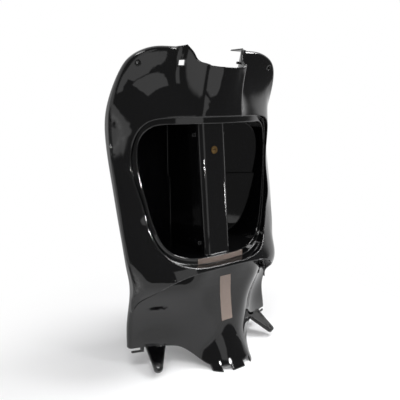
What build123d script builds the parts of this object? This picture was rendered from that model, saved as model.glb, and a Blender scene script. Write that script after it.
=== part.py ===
"""Inner leg shield of a motor scooter: one moulded skin with an open glove compartment.

X is to the right as the rider faces it, Y runs from the rider to the front wheel, Z is up, in millimetres.
The skin is a full form less the same form set in by the wall, so every feature is cut from both.
"""
from build123d import *
import math
import os

# Skin
WALL = 3.0
EDGE_ROUND = 8.0
RETURN_DEPTH = 24.0

# Outline that the rider sees
EAR_HALF_WIDTH = 201.0
TOP_HEIGHT = 631.0
SKIRT_HALF_WIDTH = 180.0
SKIRT_BOTTOM = 43.0

# Outline from the skirt up round the ear: half width, height
OUTLINE_POINTS = [
    (SKIRT_HALF_WIDTH, 60.0), (178.0, 125.0), (187.0, 195.0), (197.0, 330.0), (EAR_HALF_WIDTH, 450.0),
    (197.0, 545.0), (180.0, 594.0), (145.0, 623.0), (100.0, TOP_HEIGHT),
]

# Upper body sections: height, half width, edge depth, crown depth, fullness, rise of the fairing
UPPER_SECTIONS = [
    (90.0, 181.0, -18.0, -100.0, 0.0, 0.0),
    (128.0, 180.0, -29.0, -102.0, 0.3, 0.0),
    (157.0, 182.0, -40.0, -108.0, 0.5, 0.0),
    (190.0, 188.0, -47.0, -117.0, 0.9, 0.0),
    (212.0, 190.0, -44.0, -113.0, 0.7, 0.0),
    (235.0, 191.0, -41.0, -103.0, 0.3, 0.0),
    (263.0, 193.0, -37.0, -97.0, 0.0, 0.0),
    (300.0, 196.0, -29.0, -95.0, 0.0, 0.0),
    (373.0, 200.0, -13.0, -96.0, 0.0, 0.0),
    (440.0, 202.0, 1.0, -94.0, 0.35, 1.0),
    (497.0, 202.0, 1.0, -88.0, 0.5, 6.0),
    (545.0, 199.0, -19.0, -62.0, 0.2, 40.0),
    (592.0, 193.0, -43.0, -53.0, 0.0, 62.0),
    (626.0, 190.0, -54.0, -62.0, 0.0, 63.0),
    (660.0, 190.0, -65.0, -73.0, 0.0, 64.0),
]

# Tunnel and skirt sections: height, crown depth, skirt depth, half width at mid rise, squareness
TUNNEL_SECTIONS = [
    (-30.0, -172.0, -14.0, 72.0, 4.0),
    (0.0, -152.0, -14.0, 76.0, 4.0),
    (43.0, -124.0, 0.0, 105.0, 2.4),
    (90.0, -110.0, -14.0, 98.0, 3.7),
    (136.0, -104.0, -24.0, 114.0, 4.3),
    (183.0, -103.0, -30.0, 126.0, 5.0),
    (230.0, -103.0, -34.0, 130.0, 5.0),
]

# Chin over the tunnel: half width, drop below the top of its arch
ARCH_HEIGHT = 204.0
ARCH_POINTS = [(0.0, 0.0), (60.0, 1.0), (100.0, 6.0), (136.0, 22.0), (162.0, 52.0), (178.0, 84.0), (192.0, 126.0)]

# Steering fairing between the ears, and the notch over it
FAIRING_HALF_WIDTH = 46.0
FLANK_WIDTH = 30.0
FLANK_BIAS = 0.6
FAIRING_DOME = 0.17
NOTCH_FLOOR = 588.0
PEG_RADIUS = 2.5
PEG_LENGTH = 9.0
PEG_ROOT = 58.0
PEG_HEIGHT = 599.5

# Notch from its floor up one side: half width, rise above the floor
NOTCH_POINTS = [(0.0, 0.0), (33.0, 1.5), (51.0, 9.0), (57.0, 24.0), (67.0, 46.0)]

# Door seat, a band of a leaning cylinder round the mouth of the compartment
SEAT_RADIUS = 260.0
SEAT_CROWN = -94.0
SEAT_LEAN = 7.0 / 290.0
SEAT_WIDTH = 13.0
SEAT_TOP = 498.0
SEAT_BOTTOM = 211.0
SEAT_HALF_WIDTH = 170.0

# Seat from its lowest point up one side: half width, height
SEAT_POINTS = [
    (0.0, SEAT_BOTTOM), (70.0, SEAT_BOTTOM + 2.0), (113.0, SEAT_BOTTOM + 18.0), (143.0, SEAT_BOTTOM + 66.0),
    (160.0, 350.0), (SEAT_HALF_WIDTH, 424.0), (162.0, SEAT_TOP - 30.0), (141.0, SEAT_TOP - 7.0),
    (110.0, SEAT_TOP - 1.0), (0.0, SEAT_TOP),
]

# Compartment
BIN_DEPTH = 66.0
BIN_MIDDLE_HALF_WIDTH = 20.0
BIN_SIDE_SLOPE = 0.56
BIN_LEDGE_HEIGHT = 367.0
BIN_LEDGE = 8.0
COLUMN_HALF_WIDTH = 32.0
COLUMN_FRONT = -83.0
COLUMN_LEAN = 22.0 / 243.0
COLUMN_ROUND = 12.0
BUSH_HEIGHT = 432.0
BUSH_RADIUS = 5.5
BUSH_BORE = 3.5
BUSH_FLANGE_RADIUS = 7.5
BUSH_FLANGE = 1.2
BUSH_LENGTH = 9.0
BUSH_CLEARANCE = 0.1
PILLAR_RADIUS = 4.5
PILLAR_BORE = 1.6
PILLAR_OFFSET = 3.0
PILLAR_HEIGHTS = (246.0, 462.0)
PILLAR_SETBACK = 16.0
PILLAR_LENGTH = 14.0

# Fixings
SCREW_SPACING = 314.0
SCREW_HEIGHT = 594.0
SCREW_RADIUS = 3.0
SCREW_DISH_RADIUS = 5.5
SCREW_DISH = 2.0
SCREW_BOSS_RADIUS = 6.0
SCREW_BOSS = 14.0
CLIP_HOLE = 10.0
CLIP_HOLE_OFFSET = 70.0
CLIP_HOLE_HEIGHT = 597.0
TONGUE_SPACING = 262.0
TONGUE_ROOT = 43.0
TONGUE_TIP = 19.0
TONGUE_LENGTH = 57.0
TONGUE_PITCH = 32.6
TONGUE_YAW = 24.0
TONGUE_RIM = 2.5
TONGUE_HOLE_RADIUS = 3.5
NOSE_EDGE = 9.0
NOSE_TAB = 15.0
NOSE_TAB_OFFSET = 42.0
NOSE_MIDDLE_TAB = 30.0
HOOK = 4.0
HOOK_START = 153.0
HOOK_LENGTH = 23.0
HOOK_NECK = 6.0
HOOK_DROP = 10.0
RIB = 2.2
RIB_HEIGHTS = (300.0, 430.0)

# Lower edge from the nose up to the skirt: half width, height
NOSE_POINTS = [(46.0, NOSE_EDGE), (66.0, 22.0), (82.0, 36.0), (104.0, SKIRT_BOTTOM)]

# Blank tape strips stuck to the gloss skin
TAPE = 0.5
ADHESIVE = 0.15
LOWER_STRIP_WIDTH = 27.0
LOWER_STRIP_BOTTOM = 90.0
LOWER_STRIP_TOP = 183.0
UPPER_STRIP_LENGTH = 113.0
UPPER_STRIP_WIDTH = 11.0

# Working blocks, larger than the part
FORM_BACK = 100.0
FORM_DEPTH = 320.0
FORM_LOW = -25.0
SPLIT_LOW = 100.0
SPLIT_HIGH = 225.0
SLOT_FLOOR = 540.0
SEAT_BLOCK_HALF_WIDTH = 195.0
SLOT_HALF_WIDTH = 80.0
MARGIN = 30.0

# Stations from the middle out at which the level sections are worked out
FLANK_STATIONS = [FAIRING_HALF_WIDTH + FLANK_WIDTH * share for share in (0, 0.12, 0.28, 0.5, 0.75, 1)]
UPPER_STATIONS = [0, 20, 38] + FLANK_STATIONS + [90, 110, 134, 160, 186, 212]
TUNNEL_STATIONS = [0, 22, 44, 62, 80, 100, 124, 150, 176, 200]


def mirrored(half):
    """Curve with its mirror image across the middle plane."""
    return half + mirror(half, Plane.YZ)


def moved_out(curve, amount, count=16):
    """The curve moved to its right by an amount, as a fair curve with the same end directions."""
    points = []
    for index in range(count + 1):
        along = curve % (index / count)
        points.append(curve @ (index / count) + Vector(along.Y, -along.X) * amount)
    return Spline(*points, tangents=[curve % 0, curve % 1])


def through(sketch):
    """Prism of a front outline through the whole depth of the form."""
    return extrude(Plane.XZ.offset(-FORM_BACK) * sketch, FORM_DEPTH)


def level_band(low, high, half_width=2 * EAR_HALF_WIDTH):
    """Box between two heights, as deep as the form."""
    middle = FORM_BACK - FORM_DEPTH / 2
    return Pos(0, middle, (low + high) / 2) * Box(2 * half_width, FORM_DEPTH, high - low)


def upper_shape(x, section):
    """Depth of the upper body at x: a crowned panel with the fairing raised on it."""
    height, half_width, edge, crown, fullness, rise = section
    square = (x / half_width) ** 2
    panel = edge + (crown - edge) * (1 - (1 - fullness) * square - fullness * square ** 2)
    across = min(max((abs(x) - FAIRING_HALF_WIDTH) / FLANK_WIDTH, 0), 1)
    dome = FAIRING_DOME * min((x / FAIRING_HALF_WIDTH) ** 2, 1)
    return panel - rise * (1 - dome) * (1 + math.cos(math.pi * across ** FLANK_BIAS)) / 2


def tunnel_shape(x, section):
    """Depth of the tunnel and skirt at x: a bell on a flat skirt."""
    height, crown, skirt, half_width, squareness = section
    return skirt + (crown - skirt) / (1 + (abs(x) / half_width) ** squareness)


def front_block(sections, shape, half_stations, pacing, inset):
    """Solid behind a front surface, lofted from level sections that share one spacing, as two mirrored halves."""
    xs = [-x for x in reversed(half_stations[1:])] + half_stations
    paced = [Vector(x, shape(x, pacing)) for x in xs]
    runs = [0.0]
    for start, end in zip(paced, paced[1:]):
        runs.append(runs[-1] + (end - start).length)
    parameters = [run / runs[-1] for run in runs]
    faces = []
    step = 0.01
    for section in sections:
        points = []
        for x in xs:
            slope = (shape(x + step, section) - shape(x - step, section)) / (2 * step)
            scale = inset / math.hypot(1, slope)
            points.append(Vector(x - slope * scale, shape(x, section) + scale, section[0]))
        front = Edge.make_spline(points, parameters=parameters)
        left, right = points[0], points[-1]
        back = FORM_BACK + MARGIN
        sides = Polyline(right, (right.X, back, right.Z), (left.X, back, left.Z), left)
        faces.append(make_face([front] + list(sides.edges())))
    half = split(loft(faces), Plane.YZ)
    return half + mirror(half, Plane.YZ)


def upper_block(inset):
    return front_block(UPPER_SECTIONS, upper_shape, UPPER_STATIONS, UPPER_SECTIONS[-4], inset)


def tunnel_block(inset):
    return front_block(TUNNEL_SECTIONS, tunnel_shape, TUNNEL_STATIONS, TUNNEL_SECTIONS[2], inset)


def outline(inset):
    """Outer outline from the skirts up round both ears."""
    side = Spline((SKIRT_HALF_WIDTH, FORM_LOW - MARGIN), *OUTLINE_POINTS, tangents=[(0, 1), (-1, 0)])
    if inset:
        side = moved_out(side, -inset)
    low, high = side @ 0, side @ 1
    top = Line(high, (-high.X, high.Y))
    bottom = Line(low, (-low.X, low.Y))
    return make_face(mirrored(side) + top + bottom)


def arch(inset):
    """Region under the chin, where the tunnel and skirts take over from the upper body."""
    points = [(x, ARCH_HEIGHT - drop) for x, drop in ARCH_POINTS]
    half = Spline(*points, tangents=[(1, 0), (0.3, -1)])
    if inset:
        half = moved_out(half, -inset)
    end = half @ 1
    low = Polyline(end, (2 * SKIRT_HALF_WIDTH, end.Y), (2 * SKIRT_HALF_WIDTH, FORM_LOW - 2 * MARGIN),
                   (0, FORM_LOW - 2 * MARGIN))
    return through(make_face(mirrored(half + low)))


def seat_outline(growth):
    """Outline of the door seat, a rounded shield."""
    half = Spline(*SEAT_POINTS, tangents=[(1, 0), (-1, 0)])
    return make_face(mirrored(moved_out(half, growth) if growth else half))


def seat_block(inset):
    """Solid in front of the seat's leaning cylinder."""
    radius = SEAT_RADIUS - inset
    half = SEAT_BLOCK_HALF_WIDTH
    center = SEAT_CROWN + SEAT_RADIUS
    side = center - math.sqrt(radius ** 2 - half ** 2)
    front = FORM_BACK - FORM_DEPTH
    arc = ThreePointArc((-half, side), (0, center - radius), (half, side))
    plan = make_face(arc + Polyline((half, side), (half, front), (-half, front), (-half, side)))
    rise = SEAT_TOP - SEAT_BOTTOM + 4 * MARGIN
    return extrude(Pos(0, 0, SEAT_BOTTOM - MARGIN) * plan, amount=rise, dir=(0, SEAT_LEAN, 1))


def seat_depth(x, height):
    """Depth of the door seat at x and a height."""
    lean = SEAT_LEAN * (height - SEAT_BOTTOM + MARGIN)
    return SEAT_CROWN + SEAT_RADIUS - math.sqrt(SEAT_RADIUS ** 2 - x ** 2) + lean


def seat_tool(inset):
    return through(seat_outline(inset)) & seat_block(inset)


def bin_room(inset, depth, low, high):
    """Room in front of the compartment's bowed back wall, between two heights."""
    front = FORM_BACK - FORM_DEPTH
    side = 2 * SEAT_HALF_WIDTH
    side_depth = depth - BIN_SIDE_SLOPE * (side - BIN_MIDDLE_HALF_WIDTH)
    plan = make_face(Polyline(
        (-side, front), (side, front), (side, side_depth), (BIN_MIDDLE_HALF_WIDTH, depth),
        (-BIN_MIDDLE_HALF_WIDTH, depth), (-side, side_depth), close=True))
    plan = offset(plan, inset, kind=Kind.INTERSECTION) if inset else plan
    return extrude(Pos(0, 0, low) * plan, high - low)


def column(inset):
    """Cover of the frame tube, standing in the compartment."""
    half = COLUMN_HALF_WIDTH - inset
    low = SEAT_BOTTOM - MARGIN
    front = COLUMN_FRONT + inset - COLUMN_LEAN * MARGIN
    plan = Pos(0, front, low) * Rectangle(2 * half, FORM_DEPTH, align=(Align.CENTER, Align.MIN))
    plan = fillet(plan.vertices().sort_by(Axis.Y)[:2], COLUMN_ROUND - inset)
    return extrude(plan, amount=SEAT_TOP - SEAT_BOTTOM + 2 * MARGIN, dir=(0, COLUMN_LEAN, 1))


def bin_tool(inset):
    """Compartment room with its ledge, less the column."""
    mouth = through(seat_outline(inset - SEAT_WIDTH))
    ledge = BIN_LEDGE_HEIGHT - inset
    upper = bin_room(inset, BIN_DEPTH, ledge, SEAT_TOP + MARGIN)
    lower = bin_room(inset, BIN_DEPTH - BIN_LEDGE, SEAT_BOTTOM - MARGIN, ledge)
    return (mouth & (upper + lower)) - column(inset)


def round_front(form, radius):
    """Roll the front edge over along the sides and the tops of the ears."""
    fronts = form.faces().filter_by(GeomType.BSPLINE).sort_by(SortBy.AREA)[-2:]
    edges = []
    for edge in fronts.edges():
        box = edge.bounding_box()
        cut_level = box.size.Z < 1 and box.max.Z < TOP_HEIGHT - 2 * WALL
        if abs(edge.center().X) > SLOT_HALF_WIDTH + 1 and not cut_level:
            edges.append(edge)
    return fillet(edges, radius)


def notch_tool():
    """Steering opening: a U cut through the top of the fairing and the flanks beside it."""
    points = [(x, NOTCH_FLOOR + rise) for x, rise in NOTCH_POINTS]
    half = Spline(*points, tangents=[(1, 0), (0.5, 1)])
    end, high = half @ 1, TOP_HEIGHT + 2 * MARGIN
    rest = Polyline(end, (end.X, high), (0, high))
    return through(make_face(mirrored(half + rest)))


def body_form(inset):
    """Whole form behind the front surface, with the seat and the compartment cut in."""
    prism = through(outline(inset))
    upper = upper_block(inset) & prism & level_band(SPLIT_LOW, TOP_HEIGHT + MARGIN)
    slot = level_band(SLOT_FLOOR, TOP_HEIGHT + MARGIN, SLOT_HALF_WIDTH)
    upper = round_front(upper - slot, EDGE_ROUND - inset) + (upper & slot) - notch_tool()
    lower = tunnel_block(inset) & prism & level_band(FORM_LOW, SPLIT_HIGH)
    lower = round_front(lower, EDGE_ROUND - inset)
    chin = arch(inset)
    form = (upper - chin) + (lower & chin)
    return form - seat_tool(inset) - bin_tool(inset)


def edge_depth_points():
    """Depth of the outer edge down the side, from the sections."""
    low = [(s[0], tunnel_shape(SKIRT_HALF_WIDTH, s)) for s in TUNNEL_SECTIONS if s[0] < SPLIT_LOW]
    high = [(s[0], s[2]) for s in UPPER_SECTIONS if s[0] > SPLIT_LOW]
    return low + high


def return_trim():
    """All that lies behind the rolled edge's return, outside the compartment."""
    points = [(depth + RETURN_DEPTH, height) for height, depth in edge_depth_points()]
    line = Spline(*points)
    start, end = line @ 0, line @ 1
    back = FORM_BACK + MARGIN
    profile = make_face(line + Polyline(end, (back, end.Y), (back, start.Y), start))
    slab = extrude(Plane.YZ * profile, 2 * EAR_HALF_WIDTH, both=True)
    return slab - through(seat_outline(2 * WALL - SEAT_WIDTH))


def bottom_trim():
    """All that lies below the skirts' edge, round the nose, its tabs and the corner hooks."""
    half = Line((0, NOSE_EDGE), NOSE_POINTS[0])
    curve = Spline(*NOSE_POINTS, tangents=[(1, 0.1), (1, 0)])
    end = curve @ 1
    rest = Polyline(end, (2 * EAR_HALF_WIDTH, end.Y), (2 * EAR_HALF_WIDTH, FORM_LOW - MARGIN),
                    (0, FORM_LOW - MARGIN))
    face = make_face(mirrored(half + curve + rest))
    nose = Pos(0, NOSE_EDGE / 2) * Rectangle(NOSE_MIDDLE_TAB, NOSE_EDGE)
    for side in (-1, 1):
        nose += Pos(side * NOSE_TAB_OFFSET, NOSE_EDGE) * Rectangle(NOSE_TAB, 2 * NOSE_EDGE)
        neck = Pos(side * (HOOK_START + HOOK_NECK / 2), SKIRT_BOTTOM - HOOK_DROP / 2)
        nose += neck * Rectangle(HOOK_NECK, HOOK_DROP)
        bar = Pos(side * (HOOK_START + HOOK_LENGTH / 2), SKIRT_BOTTOM - HOOK_DROP + HOOK / 2)
        nose += bar * Rectangle(HOOK_LENGTH, HOOK)
    return through(face - nose)


def along_y(x, y, z, radius, length):
    """Rod along Y from the point given towards the wheel."""
    return Pos(x, y + length / 2, z) * Rot(90, 0, 0) * Cylinder(radius, length)


def section_at(height):
    """Upper section at a height between two given ones."""
    below = max((s for s in UPPER_SECTIONS if s[0] <= height), key=lambda s: s[0])
    above = min((s for s in UPPER_SECTIONS if s[0] > height), key=lambda s: s[0])
    share = (height - below[0]) / (above[0] - below[0])
    return tuple(low + share * (high - low) for low, high in zip(below, above))


def screw_boss(x, block):
    """Tube behind the skin round a fixing screw."""
    depth = upper_shape(x, section_at(SCREW_HEIGHT))
    rod = along_y(x, depth - SCREW_BOSS, SCREW_HEIGHT, SCREW_BOSS_RADIUS, 2 * SCREW_BOSS)
    return rod & block


def screw_hole(x):
    """Screw hole with a shallow dish for the head."""
    depth = upper_shape(x, section_at(SCREW_HEIGHT))
    hole = along_y(x, depth - MARGIN, SCREW_HEIGHT, SCREW_RADIUS, 3 * MARGIN)
    return hole + along_y(x, depth - MARGIN, SCREW_HEIGHT, SCREW_DISH_RADIUS, MARGIN + SCREW_DISH)


def clip_hole(x):
    depth = upper_shape(x, section_at(CLIP_HOLE_HEIGHT))
    return Pos(x, depth, CLIP_HOLE_HEIGHT) * Box(CLIP_HOLE, 2 * MARGIN, CLIP_HOLE)


def notch_peg(side):
    """Locating peg on the inner face of the fairing's flank."""
    depth = upper_shape(PEG_ROOT + WALL / 2, section_at(PEG_HEIGHT))
    middle = side * (PEG_ROOT - PEG_LENGTH / 2)
    return Pos(middle, depth, PEG_HEIGHT) * Rot(0, 90, 0) * Cylinder(PEG_RADIUS, PEG_LENGTH)


def rib(side, height):
    """Web between the compartment wall and the return of the edge."""
    section = section_at(height)
    mouth = seat_outline(WALL / 2 - SEAT_WIDTH)
    level = Line((0, height), (2 * EAR_HALF_WIDTH, height))
    near = max(vertex.X for vertex in (level & mouth).vertices())
    far = max(vertex.X for vertex in (level & outline(WALL / 2)).vertices())
    back = section[2] + RETURN_DEPTH
    plan = make_face(Polyline(
        (side * near, seat_depth(near, height) + WALL / 2), (side * far, section[2] + EDGE_ROUND),
        (side * far, back), (side * near, back), close=True))
    return extrude(Pos(0, 0, height - RIB / 2) * plan, RIB)


def pillar(side, height):
    """Short screw pillar on the flank of the column, with a blind bore."""
    x = side * (COLUMN_HALF_WIDTH + PILLAR_OFFSET)
    front = column_face(height) + PILLAR_SETBACK
    rod = along_y(x, front, height, PILLAR_RADIUS, PILLAR_LENGTH)
    return rod - along_y(x, front - WALL, height, PILLAR_BORE, PILLAR_LENGTH)


def column_face(height):
    """Depth of the column's front at a height."""
    return COLUMN_FRONT + COLUMN_LEAN * (height - SEAT_BOTTOM)


def bush_plane():
    """Seat of the sleeve on the leaning front of the column, facing the rider."""
    return Plane(origin=(0, column_face(BUSH_HEIGHT), BUSH_HEIGHT), x_dir=(1, 0, 0), z_dir=(0, -1, COLUMN_LEAN))


def column_bush():
    """Flanged sleeve for the screw into the frame tube."""
    sleeve = extrude(bush_plane() * Circle(BUSH_RADIUS), -BUSH_LENGTH)
    flange = extrude(bush_plane() * Circle(BUSH_FLANGE_RADIUS), BUSH_FLANGE)
    return sleeve + flange - extrude(bush_plane() * Circle(BUSH_BORE), MARGIN, both=True)


def bush_hole():
    return extrude(bush_plane() * Circle(BUSH_RADIUS + BUSH_CLEARANCE), BUSH_LENGTH, both=True)


def tongue(side):
    """Fixing tongue from the skirt's edge, down and towards the rider, with a raised rim."""
    root_x = side * TONGUE_SPACING / 2
    section = TUNNEL_SECTIONS[2]
    root = Vector(root_x, tunnel_shape(root_x, section) + WALL / 2, SKIRT_BOTTOM)
    across = Vector(1, 0, 0).rotate(Axis.Z, side * TONGUE_YAW)
    pitch = math.radians(TONGUE_PITCH)
    down = Vector(0, -math.cos(pitch), -math.sin(pitch)).rotate(Axis.Z, side * TONGUE_YAW)
    plane = Plane(origin=root, x_dir=across, z_dir=across.cross(down))
    half_root, half_tip = TONGUE_ROOT / 2, TONGUE_TIP / 2
    run = TONGUE_LENGTH - half_tip
    blade = make_face(Polyline(
        (-half_root, -WALL), (half_root, -WALL), (half_tip, run), (-half_tip, run), close=True))
    blade += Pos(0, run) * Circle(half_tip)
    hole = Pos(0, run) * Circle(TONGUE_HOLE_RADIUS)
    pocket = offset(blade, -TONGUE_RIM, kind=Kind.INTERSECTION) - Pos(0, run) * Circle(half_tip)
    tray = extrude(plane * blade, WALL / 2 + TONGUE_RIM, both=True)
    room = extrude(plane.offset(-WALL / 2) * pocket, -MARGIN) + extrude(plane.offset(WALL / 2) * pocket, MARGIN)
    return tray - room - extrude(plane * hole, MARGIN, both=True)


def lower_strip():
    """Blank strip on the crown of the tunnel."""
    middle = (LOWER_STRIP_BOTTOM + LOWER_STRIP_TOP) / 2
    patch = Pos(0, middle) * Rectangle(LOWER_STRIP_WIDTH, LOWER_STRIP_TOP - LOWER_STRIP_BOTTOM)
    post = through(patch)
    return (post & tunnel_block(-ADHESIVE - TAPE)) - (post & tunnel_block(-ADHESIVE))


def upper_strip():
    """Blank strip on the seat under the mouth."""
    patch = Pos(0, SEAT_BOTTOM + SEAT_WIDTH / 2) * Rectangle(UPPER_STRIP_LENGTH, UPPER_STRIP_WIDTH)
    post = through(patch)
    return (post & seat_block(-ADHESIVE)) - (post & seat_block(-ADHESIVE - TAPE))


def leg_shield():
    """Skin with its trims, fixings, ribs and holes."""
    skin = body_form(0) - body_form(WALL)
    skin = skin - return_trim() - bottom_trim()
    block = upper_block(WALL / 2)
    screw = SCREW_SPACING / 2
    added, cut = [], [bush_hole()]
    for side in (-1, 1):
        added += [screw_boss(side * screw, block), notch_peg(side), tongue(side)]
        added += [rib(side, height) for height in RIB_HEIGHTS]
        added += [pillar(side, height) for height in PILLAR_HEIGHTS]
        cut += [screw_hole(side * screw), clip_hole(side * CLIP_HOLE_OFFSET)]
    for piece in added:
        skin = skin + piece
    for tool in cut:
        skin = skin - tool
    return skin


pieces = {
    "leg_shield": leg_shield(),
    "column_bush": column_bush(),
    "lower_strip": lower_strip(),
    "upper_strip": upper_strip(),
}
box = pieces["leg_shield"].bounding_box()
to_base = Pos(-box.center().X, -box.center().Y, -box.min.Z)
print(f"moved to the middle of the base by {to_base.position}")

os.makedirs("parts", exist_ok=True)
for name, piece in pieces.items():
    export_step(to_base * piece, f"parts/{name}.step")
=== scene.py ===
import math

import bpy
import numpy as np
from bpy.props import FloatProperty, FloatVectorProperty, PointerProperty, StringProperty
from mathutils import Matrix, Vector
from mathutils.bvhtree import BVHTree


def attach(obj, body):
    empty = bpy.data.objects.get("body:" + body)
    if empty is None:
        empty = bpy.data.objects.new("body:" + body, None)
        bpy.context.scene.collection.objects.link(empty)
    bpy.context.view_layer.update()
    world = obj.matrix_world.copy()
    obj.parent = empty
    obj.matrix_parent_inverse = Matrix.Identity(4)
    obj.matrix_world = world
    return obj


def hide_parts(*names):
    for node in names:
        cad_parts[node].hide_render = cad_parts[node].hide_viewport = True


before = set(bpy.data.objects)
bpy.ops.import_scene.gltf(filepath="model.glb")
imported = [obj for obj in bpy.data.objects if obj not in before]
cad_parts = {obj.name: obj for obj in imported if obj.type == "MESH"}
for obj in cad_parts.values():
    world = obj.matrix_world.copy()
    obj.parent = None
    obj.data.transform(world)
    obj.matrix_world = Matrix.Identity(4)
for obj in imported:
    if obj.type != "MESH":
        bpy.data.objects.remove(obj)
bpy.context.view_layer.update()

bl_info = {
    "name": "Scooter inner leg shield",
    "version": (1, 0, 0),
    "blender": (4, 5, 0),
    "location": "View3D > Sidebar > Leg shield",
    "description": "Dresses a moulded scooter leg shield in gloss black ABS and sets up its studio",
    "category": "Object",
}

MM = 0.001

# Trim of the shell, in metres out from the middle plane and up from the lowest edge.
SCREW_OUT, SCREW_UP = 0.157, 0.594      # an ear's screw hole
BOSS_ROOM = 14.0 * MM                   # round the hole, where the boss keeps its depth
RIM_OUT, RIM_UP = 0.165, 0.03           # the rim along a flank lies beyond these
EAR_OUT, EAR_UP = 0.085, 0.59           # the rim along an ear's top lies beyond these
RIM_INSET = 8.0 * MM                    # how far inside the outline the face is measured
INSET_OUT, INSET_UP = (0.15, 0.17), (0.56, 0.62)  # where that inset grows to its full amount
FLANK_OUT, FLANK_UP = (0.15, 0.2), (0.06, 0.14)   # where a flank's trim grows to its full amount
TOP_OUT, TOP_UP = (0.05, 0.08), (0.59, 0.631)     # where an ear's trim grows to its full amount
RIM_KEPT, RIM_CLOSED = 9.0 * MM, 13.0 * MM  # depth that stays, and the depth behind it that closes up
IN_FRONT = -0.3                         # clear of the part, where rays to the face start

# Floor, in metres.
FLOOR_SIDE = 12.0                       # half width and back of the paper
FLOOR_STEP = -0.45                      # where the wide paper ends and the front strip begins
FLOOR_CUT = (-0.15, -1.0)               # inner corner of the piece cut from the strip's left
FLOOR_FADE = (0.18, 0.6)                # distance from the part at which the paper fades into white
WALL_FADE = (-0.3, 0.0)                 # Y of a direction at which the dim room gives way to the white wall

SENSOR_MM = 36.0

# Real sizes of the surface patterns, in millimetres.
HAZE_MM = 14.0                          # a patch left by wiping
DUST_MM = 9.0                           # from one speck of dust to the next
FILM_GRAIN_MM = 2.5                     # drawn coarse: film's own grain of 0.1 mm is too fine to show
ZINC_DRIFT_MM = 5.0                     # slow change of tone in the passivation

# Second colours of the finishes, as sRGB hex values.
DUST_GREY = "#26262a"
TAPE_SHADE = "#766860"                  # darker tone in the film's grain
ZINC_BRIGHT = "#c9a46a"                 # brighter tone in the passivation
WHITE = "#ffffff"

# What the lamps are aimed at, in metres.
MIDDLE, NOSE, BELOW_NOSE = (0.0, 0.0, 0.3), (0.0, -0.09, 0.02), (0.0, -0.09, -0.08)
COLUMN, LEFT_LIP = (-0.1, -0.06, 0.26), (-0.2, -0.06, 0.33)
OPEN = 180.0                            # spread of a plain soft lamp, in degrees

# Name, place, target, size, power property, share of that power, spread in degrees.
LAMPS = (
    ("left_ceiling", (-0.75, -0.55, 2.3), MIDDLE, (0.9, 0.5), "ceiling_power", 1.0, OPEN),
    ("right_ceiling", (1.15, -0.5, 1.9), MIDDLE, (0.8, 0.5), "ceiling_power", 2.0, OPEN),
    ("front_panel", (0.1, -2.2, 0.85), (0.1, 0.0, 0.85), (1.1, 1.7), "panel_power", 1.0, OPEN),
    ("low_right", (1.2, -0.87, 0.14), COLUMN, (0.3, 0.3), "low_power", 1.0, 5.0),
    ("lip_strip", (-0.52, -1.62, 0.37), LEFT_LIP, (0.3, 0.2), "lip_power", 1.0, 3.0),
    ("left_grid", (-0.64, -1.46, 1.18), BELOW_NOSE, (0.4, 0.3), "grid_power", 0.4, 5.0),
    ("right_grid", (0.7, -1.47, 1.13), NOSE, (0.5, 0.4), "grid_power", 1.0, 8.0),
)


def linear(hex_colour):
    """Linear RGBA of an sRGB hex colour."""
    channels = [int(hex_colour[i:i + 2], 16) / 255 for i in (1, 3, 5)]
    return [c / 12.92 if c <= 0.04045 else ((c + 0.055) / 1.055) ** 2.4 for c in channels] + [1.0]


def add_node(tree, kind, settings=None, values=None, links=None):
    """Add a node with its settings, its socket values and its input links."""
    node = tree.nodes.new(kind)
    for name, value in (settings or {}).items():
        setattr(node, name, value)
    for name, value in (values or {}).items():
        node.inputs[name].default_value = value
    for name, source in (links or {}).items():
        tree.links.new(source, node.inputs[name])
    return node


def per_metre(size_mm):
    """Texture scale at which a pattern repeats about once in the size given."""
    return 1000.0 / size_mm


def new_material(name):
    """Material with an empty node tree and its output."""
    material = bpy.data.materials.new(name)
    material.use_nodes = True
    tree = material.node_tree
    tree.nodes.clear()
    return material, tree, add_node(tree, "ShaderNodeOutputMaterial")


class LegShieldLook(bpy.types.PropertyGroup):
    """Colours and finish of the leg shield."""

    black: StringProperty(
        name="Black", description="Pigment of the moulded ABS, as an sRGB hex value", default="#060607")
    roughness: FloatProperty(
        name="Roughness", description="Roughness of the polished face", default=0.03, min=0.0, max=1.0,
        subtype="FACTOR")
    edge: FloatProperty(
        name="Edge radius", description="Radius that polishing leaves on the moulded edges", default=4.0 * MM,
        min=0.0, subtype="DISTANCE", unit="LENGTH")
    ripple: FloatProperty(
        name="Moulding ripple", default=38.0, min=5.0,
        description="Width of the slow ripple that sink leaves in the face, in millimetres")
    tape: StringProperty(
        name="Tape", description="Colour of the blank film strips, as an sRGB hex value", default="#84766e")
    bush: StringProperty(
        name="Bush", description="Colour of the passivated sleeve, as an sRGB hex value", default="#6d5334")


class LegShieldFit(bpy.types.PropertyGroup):
    """How the shown shell is trimmed against the CAD shell, all of it inwards."""

    rim: FloatProperty(
        name="Rim trim", description="How much shorter the turned-back rim is", default=12.0 * MM, min=0.0,
        subtype="DISTANCE", unit="LENGTH")
    flank: FloatProperty(
        name="Flank trim", description="How far each flank's edge comes in", default=5.0 * MM, min=0.0,
        subtype="DISTANCE", unit="LENGTH")
    ear: FloatProperty(
        name="Ear trim", description="How far the top of each ear comes down", default=6.0 * MM, min=0.0,
        subtype="DISTANCE", unit="LENGTH")


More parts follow.
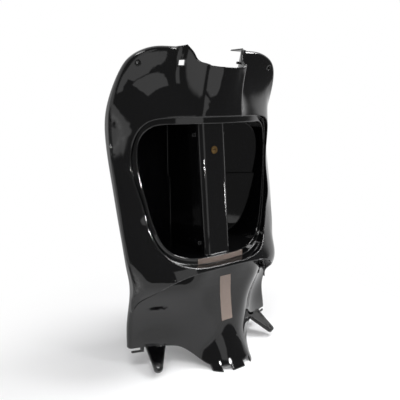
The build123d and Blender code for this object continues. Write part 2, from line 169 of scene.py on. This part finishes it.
class LegShieldStage(bpy.types.PropertyGroup):
    """Camera, floor and light."""

    camera: FloatVectorProperty(
        name="Camera", description="Place of the camera in the part's frame",
        default=(-0.59705, -0.80665, 0.538), subtype="TRANSLATION", unit="LENGTH")
    heading: FloatProperty(
        name="Heading", description="Turn of the view from +Y towards +X", default=math.radians(35.55),
        subtype="ANGLE", unit="ROTATION")
    pitch: FloatProperty(
        name="Pitch", description="Tilt of the view below level", default=math.radians(11.86),
        subtype="ANGLE", unit="ROTATION")
    lens: FloatProperty(
        name="Lens", description="Focal length on a 36 mm sensor", default=45.0, min=1.0,
        subtype="DISTANCE_CAMERA")
    floor: StringProperty(
        name="Floor", description="Colour of the paper floor, as an sRGB hex value", default="#f1f1f2")
    floor_front: FloatProperty(
        name="Floor front", description="How far the paper reaches in front of the part", default=1.9,
        min=0.5, subtype="DISTANCE", unit="LENGTH")
    floor_strip: FloatVectorProperty(
        name="Floor strip", description="Left and right edges of the paper in front of the part", size=2,
        default=(-0.75, 0.45), subtype="TRANSLATION", unit="LENGTH")
    room: FloatProperty(
        name="Room shade", description="Brightness of the room in front of the part, against a white wall",
        default=0.17, min=0.0, max=1.0, subtype="FACTOR")
    ambient: FloatProperty(
        name="Ambient", description="Brightness of the light from all round", default=0.5, min=0.0)
    ceiling_power: FloatProperty(
        name="Ceiling power", default=16.0, min=0.0, unit="POWER",
        description="Power of the left soft lamp over the part, and half of the right one's")
    panel_power: FloatProperty(
        name="Panel power", description="Power of the large dim panel in front of the part", default=4.7,
        min=0.0, unit="POWER")
    low_power: FloatProperty(
        name="Low lamp power", description="Power of the small low lamp on the right", default=0.02, min=0.0,
        unit="POWER")
    lip_power: FloatProperty(
        name="Lip power", description="Power of the narrow lamp on the left lip", default=0.06, min=0.0,
        unit="POWER")
    grid_power: FloatProperty(
        name="Grid power", default=0.1, min=0.0, unit="POWER",
        description="Power of the right narrow lamp on the nose, which the left one follows")


def gloss_black_abs(look):
    """Piano-gloss moulded ABS: a deep black under a mirror face, with slow sink ripple and a trace of dust.

    The eye reads it by the sharp pictures of lamps in it, bent a little where the wall sank over ribs.
    """
    material, tree, output = new_material("gloss_black_abs")
    place = add_node(tree, "ShaderNodeTexCoord")
    ripple = add_node(
        tree, "ShaderNodeTexNoise", values={"Scale": per_metre(look.ripple), "Detail": 1.0, "Roughness": 0.3},
        links={"Vector": place.outputs["Object"]})
    edges = add_node(tree, "ShaderNodeBevel", settings={"samples": 6}, values={"Radius": look.edge})
    bump = add_node(
        tree, "ShaderNodeBump", values={"Strength": 0.06, "Distance": 1.0 * MM},
        links={"Height": ripple.outputs["Fac"], "Normal": edges.outputs["Normal"]})
    haze = add_node(
        tree, "ShaderNodeTexNoise", values={"Scale": per_metre(HAZE_MM), "Detail": 6.0, "Roughness": 0.65},
        links={"Vector": place.outputs["Object"]})
    rough = add_node(
        tree, "ShaderNodeMapRange",
        values={"From Min": 0.35, "From Max": 0.75,
                "To Min": look.roughness, "To Max": look.roughness + 0.05},
        links={"Value": haze.outputs["Fac"]})
    specks = add_node(
        tree, "ShaderNodeTexVoronoi", values={"Scale": per_metre(DUST_MM)},
        links={"Vector": place.outputs["Object"]})
    dust = add_node(
        tree, "ShaderNodeMapRange",
        values={"From Min": 0.02, "From Max": 0.045, "To Min": 1.0, "To Max": 0.0},
        links={"Value": specks.outputs["Distance"]})
    colour = add_node(
        tree, "ShaderNodeMix", settings={"data_type": "RGBA"},
        values={"A": linear(look.black), "B": linear(DUST_GREY)}, links={"Factor": dust.outputs["Result"]})
    shader = add_node(
        tree, "ShaderNodeBsdfPrincipled", values={"IOR": 1.53},
        links={"Base Color": colour.outputs["Result"], "Roughness": rough.outputs["Result"],
               "Normal": bump.outputs["Normal"]})
    tree.links.new(shader.outputs["BSDF"], output.inputs["Surface"])
    return material


def blank_tape_film(look):
    """Matt polypropylene film tape: a tan that the eye reads as dry and dull, with a fine grain."""
    material, tree, output = new_material("blank_tape_film")
    place = add_node(tree, "ShaderNodeTexCoord")
    grain = add_node(
        tree, "ShaderNodeTexNoise", values={"Scale": per_metre(FILM_GRAIN_MM), "Detail": 4.0},
        links={"Vector": place.outputs["Object"]})
    colour = add_node(
        tree, "ShaderNodeMix", settings={"data_type": "RGBA"},
        values={"A": linear(TAPE_SHADE), "B": linear(look.tape)}, links={"Factor": grain.outputs["Fac"]})
    bump = add_node(
        tree, "ShaderNodeBump", values={"Strength": 0.15, "Distance": 0.1 * MM},
        links={"Height": grain.outputs["Fac"]})
    shader = add_node(
        tree, "ShaderNodeBsdfPrincipled", values={"Roughness": 0.42, "IOR": 1.49},
        links={"Base Color": colour.outputs["Result"], "Normal": bump.outputs["Normal"]})
    tree.links.new(shader.outputs["BSDF"], output.inputs["Surface"])
    return material


def passivated_steel(look):
    """Turned steel with yellow zinc passivation: a warm metal glint with a slow drift of tone."""
    material, tree, output = new_material("passivated_steel")
    place = add_node(tree, "ShaderNodeTexCoord")
    drift = add_node(
        tree, "ShaderNodeTexNoise", values={"Scale": per_metre(ZINC_DRIFT_MM), "Detail": 3.0},
        links={"Vector": place.outputs["Object"]})
    colour = add_node(
        tree, "ShaderNodeMix", settings={"data_type": "RGBA"},
        values={"A": linear(ZINC_BRIGHT), "B": linear(look.bush)}, links={"Factor": drift.outputs["Fac"]})
    shader = add_node(
        tree, "ShaderNodeBsdfPrincipled", values={"Roughness": 0.3, "Metallic": 1.0},
        links={"Base Color": colour.outputs["Result"]})
    tree.links.new(shader.outputs["BSDF"], output.inputs["Surface"])
    return material


def paint_node(name, material):
    """Give a carried-over CAD node one material."""
    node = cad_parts[name]
    node.data.materials.clear()
    node.data.materials.append(material)


def ramp(values, low, high):
    """Smooth step from 0 at low to 1 at high."""
    share = np.clip((values - low) / (high - low), 0.0, 1.0)
    return share * share * (3.0 - 2.0 * share)


def rim_depth(mesh, points):
    """How far each point of the turned-back rim lies behind the face just inside it, and 0 off the rim."""
    across, up = np.abs(points[:, 0]), points[:, 2]
    outer = ((across > RIM_OUT) & (up > RIM_UP)) | ((across > EAR_OUT) & (up > EAR_UP))
    outer &= np.hypot(across - SCREW_OUT, up - SCREW_UP) > BOSS_ROOM
    tree = BVHTree.FromPolygons(points.tolist(), [face.vertices for face in mesh.polygons])
    inside = points.copy()
    inside[:, 0] -= np.sign(points[:, 0]) * RIM_INSET * ramp(across, *INSET_OUT)
    inside[:, 2] -= RIM_INSET * ramp(up, *INSET_UP)
    depth = np.zeros(len(points))
    for v in np.flatnonzero(outer):
        hit = tree.ray_cast((inside[v, 0], IN_FRONT, inside[v, 2]), (0.0, 1.0, 0.0))[0]
        if hit:
            depth[v] = points[v, 1] - hit.y
    return depth


def fitted_shell(fit):
    """Copy of the CAD shell, with its rim, flanks and ears trimmed to the outline in the photograph.

    Only points near the edges move, and only inwards. The copy keeps the CAD mesh's faces and stays
    inside its box.
    """
    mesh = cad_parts["leg_shield"].data.copy()
    mesh.name = "moulded_shell"
    points = np.empty(len(mesh.vertices) * 3)
    mesh.vertices.foreach_get("co", points)
    points = points.reshape(-1, 3)
    out, up = np.abs(points[:, 0]), points[:, 2].copy()
    points[:, 1] -= fit.rim * np.clip((rim_depth(mesh, points) - RIM_KEPT) / RIM_CLOSED, 0.0, 1.0)
    points[:, 0] -= np.sign(points[:, 0]) * fit.flank * ramp(out, *FLANK_OUT) * ramp(up, *FLANK_UP)
    points[:, 2] -= fit.ear * ramp(up, *TOP_UP) * ramp(out, *TOP_OUT)
    mesh.vertices.foreach_set("co", points.ravel())
    mesh.update()
    return bpy.data.objects.new("moulded_shell", mesh)


class LEGSHIELD_OT_shell(bpy.types.Operator):
    """Fit and paint the moulded shell"""

    bl_idname = "leg_shield.shell"
    bl_label = "Moulded shell"

    def execute(self, context):
        shell = fitted_shell(context.scene.leg_shield_fit)
        shell.data.materials.clear()
        shell.data.materials.append(gloss_black_abs(context.scene.leg_shield_look))
        context.scene.collection.objects.link(shell)
        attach(shell, "root")
        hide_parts("leg_shield")
        return {"FINISHED"}


class LEGSHIELD_OT_strips(bpy.types.Operator):
    """Finish the two blank tape strips"""

    bl_idname = "leg_shield.strips"
    bl_label = "Tape strips"

    def execute(self, context):
        tape = blank_tape_film(context.scene.leg_shield_look)
        for name in ("lower_strip", "upper_strip"):
            paint_node(name, tape)
        return {"FINISHED"}


class LEGSHIELD_OT_bush(bpy.types.Operator):
    """Plate the sleeve in the column"""

    bl_idname = "leg_shield.bush"
    bl_label = "Column bush"

    def execute(self, context):
        paint_node("column_bush", passivated_steel(context.scene.leg_shield_look))
        return {"FINISHED"}


def seen_ray(tree):
    """Two sockets: one is 1 for a ray that shows the background, and one is 1 for a camera ray alone.

    The first takes in glossy and transmission rays, so that gloss and metal mirror the background too.
    """
    path = add_node(tree, "ShaderNodeLightPath")
    mirrored = add_node(
        tree, "ShaderNodeMath", settings={"operation": "MAXIMUM"},
        links={0: path.outputs["Is Glossy Ray"], 1: path.outputs["Is Transmission Ray"]})
    seen = add_node(
        tree, "ShaderNodeMath", settings={"operation": "MAXIMUM"},
        links={0: path.outputs["Is Camera Ray"], 1: mirrored.outputs[0]})
    return seen.outputs[0], path.outputs["Is Camera Ray"]


def floor_paint(stage):
    """Matt white background paper, which fades into the white background away from the part."""
    material, tree, output = new_material("background_paper")
    place = add_node(tree, "ShaderNodeTexCoord")
    away = add_node(
        tree, "ShaderNodeVectorMath", settings={"operation": "LENGTH"}, links={0: place.outputs["Object"]})
    fade = add_node(
        tree, "ShaderNodeMapRange", settings={"interpolation_type": "SMOOTHSTEP"},
        values={"From Min": FLOOR_FADE[0], "From Max": FLOOR_FADE[1]},
        links={"Value": away.outputs["Value"]})
    seen, _ = seen_ray(tree)
    share = add_node(
        tree, "ShaderNodeMath", settings={"operation": "MULTIPLY"},
        links={0: fade.outputs["Result"], 1: seen})
    paper = add_node(
        tree, "ShaderNodeBsdfPrincipled",
        values={"Base Color": linear(stage.floor), "Roughness": 0.6, "IOR": 1.4})
    white = add_node(tree, "ShaderNodeEmission", values={"Color": linear(WHITE), "Strength": 1.0})
    both = add_node(
        tree, "ShaderNodeMixShader",
        links={0: share.outputs[0], 1: paper.outputs["BSDF"], 2: white.outputs["Emission"]})
    tree.links.new(both.outputs["Shader"], output.inputs["Surface"])
    return material


def studio_world(stage):
    """White wall round the back and sides of the part, and a dim room in front of it."""
    world = bpy.data.worlds.new("studio")
    world.use_nodes = True
    tree = world.node_tree
    tree.nodes.clear()
    output = add_node(tree, "ShaderNodeOutputWorld")
    place = add_node(tree, "ShaderNodeTexCoord")
    heading = add_node(tree, "ShaderNodeSeparateXYZ", links={"Vector": place.outputs["Generated"]})
    wall = add_node(
        tree, "ShaderNodeMapRange", settings={"interpolation_type": "SMOOTHSTEP"},
        values={"From Min": WALL_FADE[0], "From Max": WALL_FADE[1], "To Min": stage.room, "To Max": 1.0},
        links={"Value": heading.outputs["Y"]})
    seen, camera_ray = seen_ray(tree)
    around = add_node(
        tree, "ShaderNodeMix", values={"A": stage.ambient},
        links={"Factor": seen, "B": wall.outputs["Result"]})
    level = add_node(
        tree, "ShaderNodeMix", values={"B": 1.0},
        links={"Factor": camera_ray, "A": around.outputs["Result"]})
    sky = add_node(
        tree, "ShaderNodeBackground", values={"Color": linear(WHITE)},
        links={"Strength": level.outputs["Result"]})
    tree.links.new(sky.outputs["Background"], output.inputs["Surface"])
    return world


def floor_outline(stage):
    """Corners of the paper: wide behind the part, and a narrower strip in front of it.

    The gloss face mirrors the strip, so the strip's edges set where the grey patches on the part end.
    """
    left, right = stage.floor_strip
    front = -stage.floor_front
    cut_x, cut_y = FLOOR_CUT
    flat = (
        (left, cut_y), (cut_x, cut_y), (cut_x, front), (right, front), (right, FLOOR_STEP),
        (FLOOR_SIDE, FLOOR_STEP), (FLOOR_SIDE, FLOOR_SIDE), (-FLOOR_SIDE, FLOOR_SIDE),
        (-FLOOR_SIDE, FLOOR_STEP), (left, FLOOR_STEP),
    )
    return [(x, y, 0.0) for x, y in flat]


def add_lamp(name, place, target, size, power, spread):
    """Rectangular soft lamp at a place, aimed at a target, in metres, watts and degrees of spread."""
    lamp = bpy.data.lights.new(name, "AREA")
    lamp.shape = "RECTANGLE"
    lamp.size, lamp.size_y = size
    lamp.energy = power
    lamp.spread = math.radians(spread)
    holder = bpy.data.objects.new(name, lamp)
    holder.location = place
    holder.rotation_euler = (Vector(target) - Vector(place)).to_track_quat("-Z", "Y").to_euler()
    bpy.context.scene.collection.objects.link(holder)


class LEGSHIELD_OT_stage(bpy.types.Operator):
    """Set up the floor, the backdrop, the light and the camera"""

    bl_idname = "leg_shield.stage"
    bl_label = "Studio"

    def execute(self, context):
        stage = context.scene.leg_shield_stage
        corners = floor_outline(stage)
        mesh = bpy.data.meshes.new("floor")
        mesh.from_pydata(corners, [], [range(len(corners))])
        floor = bpy.data.objects.new("floor", mesh)
        context.scene.collection.objects.link(floor)
        mesh.materials.append(floor_paint(stage))
        context.scene.world = studio_world(stage)

        for name, place, target, size, power, share, spread in LAMPS:
            add_lamp(name, place, target, size, share * getattr(stage, power), spread)

        data = bpy.data.cameras.new("camera")
        data.lens = stage.lens
        data.sensor_width = SENSOR_MM
        camera = bpy.data.objects.new("camera", data)
        camera.location = stage.camera
        camera.rotation_euler = (math.radians(90) - stage.pitch, 0, -stage.heading)
        context.scene.collection.objects.link(camera)
        context.scene.camera = camera
        context.scene.view_settings.view_transform = "Standard"
        return {"FINISHED"}


class LEGSHIELD_PT_panel(bpy.types.Panel):
    """Leg shield pieces and stage"""

    bl_idname = "LEGSHIELD_PT_panel"
    bl_label = "Leg shield"
    bl_space_type = "VIEW_3D"
    bl_region_type = "UI"
    bl_category = "Leg shield"

    def draw(self, context):
        column = self.layout.column()
        look, fit, stage = (
            context.scene.leg_shield_look, context.scene.leg_shield_fit, context.scene.leg_shield_stage)
        for name in ("black", "roughness", "edge", "ripple", "tape", "bush"):
            column.prop(look, name)
        for name in ("rim", "flank", "ear"):
            column.prop(fit, name)
        for operator in (LEGSHIELD_OT_shell, LEGSHIELD_OT_strips, LEGSHIELD_OT_bush):
            column.operator(operator.bl_idname)
        for name in ("camera", "heading", "pitch", "lens", "floor", "floor_front", "floor_strip", "room",
                     "ambient", "ceiling_power", "panel_power", "low_power", "lip_power", "grid_power"):
            column.prop(stage, name)
        column.operator(LEGSHIELD_OT_stage.bl_idname)


CLASSES = (
    LegShieldLook, LegShieldFit, LegShieldStage, LEGSHIELD_OT_shell, LEGSHIELD_OT_strips, LEGSHIELD_OT_bush,
    LEGSHIELD_OT_stage, LEGSHIELD_PT_panel,
)


def register():
    for cls in CLASSES:
        bpy.utils.register_class(cls)
    bpy.types.Scene.leg_shield_look = PointerProperty(type=LegShieldLook)
    bpy.types.Scene.leg_shield_fit = PointerProperty(type=LegShieldFit)
    bpy.types.Scene.leg_shield_stage = PointerProperty(type=LegShieldStage)


def unregister():
    del bpy.types.Scene.leg_shield_stage
    del bpy.types.Scene.leg_shield_fit
    del bpy.types.Scene.leg_shield_look
    for cls in reversed(CLASSES):
        bpy.utils.unregister_class(cls)


def main():
    register()
    bpy.ops.leg_shield.shell()
    bpy.ops.leg_shield.strips()
    bpy.ops.leg_shield.bush()
    bpy.ops.leg_shield.stage()


if __name__ == "__main__":
    main()
